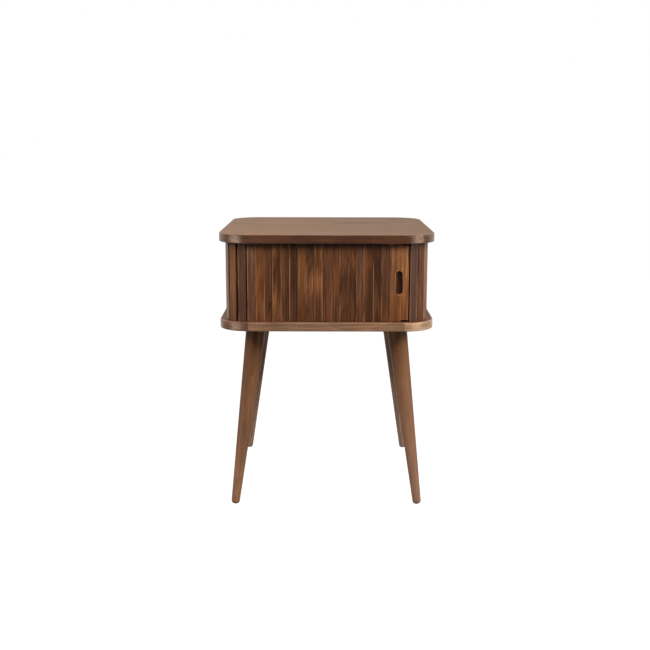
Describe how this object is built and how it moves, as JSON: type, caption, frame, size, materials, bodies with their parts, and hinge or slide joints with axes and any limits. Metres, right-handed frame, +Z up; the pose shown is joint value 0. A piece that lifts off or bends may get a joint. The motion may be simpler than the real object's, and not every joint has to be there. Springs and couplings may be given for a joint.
{
  "type": "bedside table with tambour door",
  "caption": "Bedside table on splayed turned legs: rounded boards above and below a slatted box whose tambour door slides sideways by a finger recess.",
  "frame": {"origin": "on the floor, under the middle of the table", "axes": "+Z up, the front with the door faces -Y, +X to the right of someone who faces the front"},
  "size_m": [0.45, 0.45, 0.582],
  "materials": {
    "walnut_boards": "oiled satin veneer",
    "walnut_panels": "oiled satin veneer",
    "walnut_slats": "oiled satin",
    "lead_slat": "oiled satin",
    "walnut_legs": "oiled satin",
    "dowel_wood": "plain beech",
    "canvas": "woven, dark",
    "plate_steel": "black powder coat",
    "fastener_steel": "zinc plated"
  },
  "bodies": {
    "cabinet": {"top_board": "walnut_boards", "bottom_board": "walnut_boards", "left_lining": "walnut_panels", "right_lining": "walnut_panels", "rear_lining": "walnut_panels", "back_panel": "walnut_panels", "top_dowels": "dowel_wood", "carcass_screws": "fastener_steel", "left_front_corner_slats": "walnut_slats", "left_side_slats": "walnut_slats", "left_rear_corner_slats": "walnut_slats", "left_canvas": "canvas", "right_front_corner_slats": "walnut_slats", "right_side_slats": "walnut_slats", "right_rear_corner_slats": "walnut_slats", "right_canvas": "canvas", "leg_front_left": "walnut_legs", "leg_front_right": "walnut_legs", "leg_rear_left": "walnut_legs", "leg_rear_right": "walnut_legs", "leg_plate_front_left": "plate_steel", "leg_plate_front_right": "plate_steel", "leg_plate_rear_left": "plate_steel", "leg_plate_rear_right": "plate_steel", "hanger_bolts": "fastener_steel", "plate_screws": "fastener_steel"},
    "door": {"lead_slat": "lead_slat", "door_canvas": "canvas", "door_slat_01": "walnut_slats", "door_slat_02": "walnut_slats", "door_slat_03": "walnut_slats", "door_slat_04": "walnut_slats", "door_slat_05": "walnut_slats", "door_slat_06": "walnut_slats", "door_slat_07": "walnut_slats", "door_slat_08": "walnut_slats", "door_slat_09": "walnut_slats", "door_slat_10": "walnut_slats", "door_slat_11": "walnut_slats", "door_slat_12": "walnut_slats", "door_slat_13": "walnut_slats", "door_slat_14": "walnut_slats", "door_slat_15": "walnut_slats", "door_slat_16": "walnut_slats", "door_slat_17": "walnut_slats"}
  },
  "joints": [
    {"name": "door_slide", "type": "slide", "parent": "cabinet", "child": "door", "axis": [-1, 0, 0], "range_m": [0, 0.29], "deforming": ["door_slat_01", "door_slat_02", "door_slat_03", "door_slat_04", "door_slat_05", "door_slat_06", "door_slat_07", "door_slat_08", "door_slat_09", "door_slat_10", "door_slat_11", "door_slat_12", "door_slat_13", "door_slat_14", "door_slat_15", "door_slat_16", "door_slat_17", "door_canvas"]}
  ]
}
